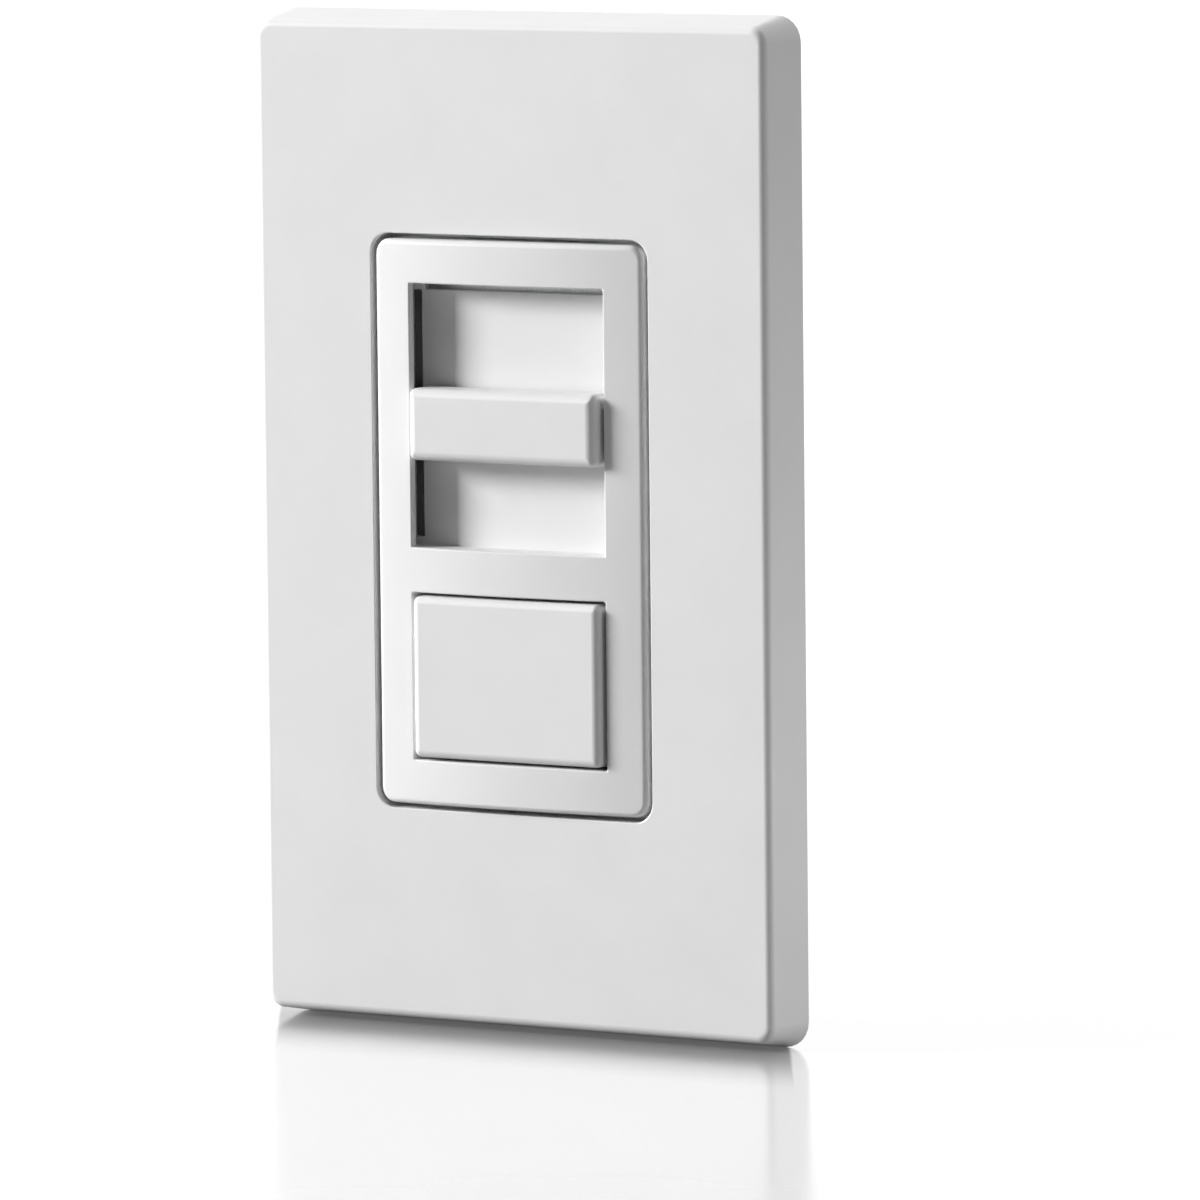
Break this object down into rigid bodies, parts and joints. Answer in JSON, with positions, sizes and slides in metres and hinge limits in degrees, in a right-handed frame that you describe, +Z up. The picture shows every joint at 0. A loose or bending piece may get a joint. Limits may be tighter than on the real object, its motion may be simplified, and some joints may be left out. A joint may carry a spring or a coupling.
{
  "type": "dimmer slide switch",
  "caption": "Single-gang wall dimmer: clip-on plate, slider knob in a recess above a push button, strap with box screws and a back housing with screw terminals.",
  "frame": {"origin": "midway between the two box screws, in the wall plane, which is the rear face of the strap's ears", "axes": "+Z up, +Y into the wall, -Y towards the room, +X to the right as seen from the room"},
  "size_m": [0.0698, 0.0365, 0.1158],
  "materials": {
    "cover_plastic": "satin moulded white",
    "insert_plastic": "satin moulded white",
    "adapter_plastic": "matte moulded white",
    "dark_plastic": "matte moulded, dark grey",
    "grey_plastic": "matte moulded, grey",
    "ivory_plastic": "matte moulded, ivory",
    "strap_metal": "stamped and anodised",
    "zinc_steel": "zinc plated",
    "spring_steel": "drawn wire",
    "can_steel": "tin plated",
    "brass": "stamped",
    "copper": "copper alloy",
    "enamelled_wire": "enamelled copper",
    "phenolic": "laminate with a carbon track",
    "board": "solder mask on glass laminate",
    "black_epoxy": "moulded epoxy",
    "polyimide": "thin film",
    "ferrite": "sintered",
    "capacitor_case": "moulded box",
    "resistor_body": "lacquered",
    "diac_body": "lacquered glass",
    "green_screw": "dyed zinc plate"
  },
  "bodies": {
    "base": {"plate_adapter": "adapter_plastic", "adapter_screws": "zinc_steel", "mounting_strap": "strap_metal", "box_screws": "zinc_steel", "face_frame": "insert_plastic", "recess_plate": "insert_plastic", "pot_housing": "can_steel", "pot_track": "phenolic", "pot_terminals": "brass", "button_spring": "spring_steel", "switch_housing": "dark_plastic", "lever_pin": "zinc_steel", "fixed_contacts": "copper", "circuit_board": "board", "triac": "black_epoxy", "triac_insulator": "polyimide", "triac_rivet": "zinc_steel", "choke_core": "ferrite", "choke_winding": "enamelled_wire", "film_capacitor": "capacitor_case", "timing_capacitors": "capacitor_case", "resistors": "resistor_body", "diac": "diac_body", "back_housing": "dark_plastic", "housing_screws": "zinc_steel", "terminal_plates": "brass", "terminal_screws": "brass", "ground_screw": "green_screw"},
    "cover": {"wall_plate": "cover_plastic"},
    "slider": {"slider_knob": "insert_plastic", "slider_carriage": "grey_plastic", "pot_lever": "ivory_plastic", "pot_wiper": "brass"},
    "button": {"button_cap": "insert_plastic", "button_plunger": "grey_plastic"},
    "contact_lever": {"switch_lever": "ivory_plastic", "contact_bridge": "copper"}
  },
  "joints": [
    {"name": "cover_pull", "type": "slide", "parent": "base", "child": "cover", "axis": [0, -1, 0], "range_m": [0, 0.02]},
    {"name": "slider_slide", "type": "slide", "parent": "base", "child": "slider", "axis": [0, 0, 1], "range_m": [-0.00955, 0.01135]},
    {"name": "button_press", "type": "slide", "parent": "base", "child": "button", "axis": [0, 1, 0], "range_m": [0, 0.002], "stiffness_N_per_m": 400, "springref_m": -0.002, "deforming": ["button_spring"]},
    {"name": "contact_turn", "type": "hinge", "parent": "base", "child": "contact_lever", "pos_m": [0, 0.00245, -0.0245], "axis": [-1, 0, 0], "range_deg": [0, 17.5]}
  ],
  "couplings": [
    {"joint": "contact_turn", "follows": "button_press", "rad_per_m": 152.7}
  ]
}
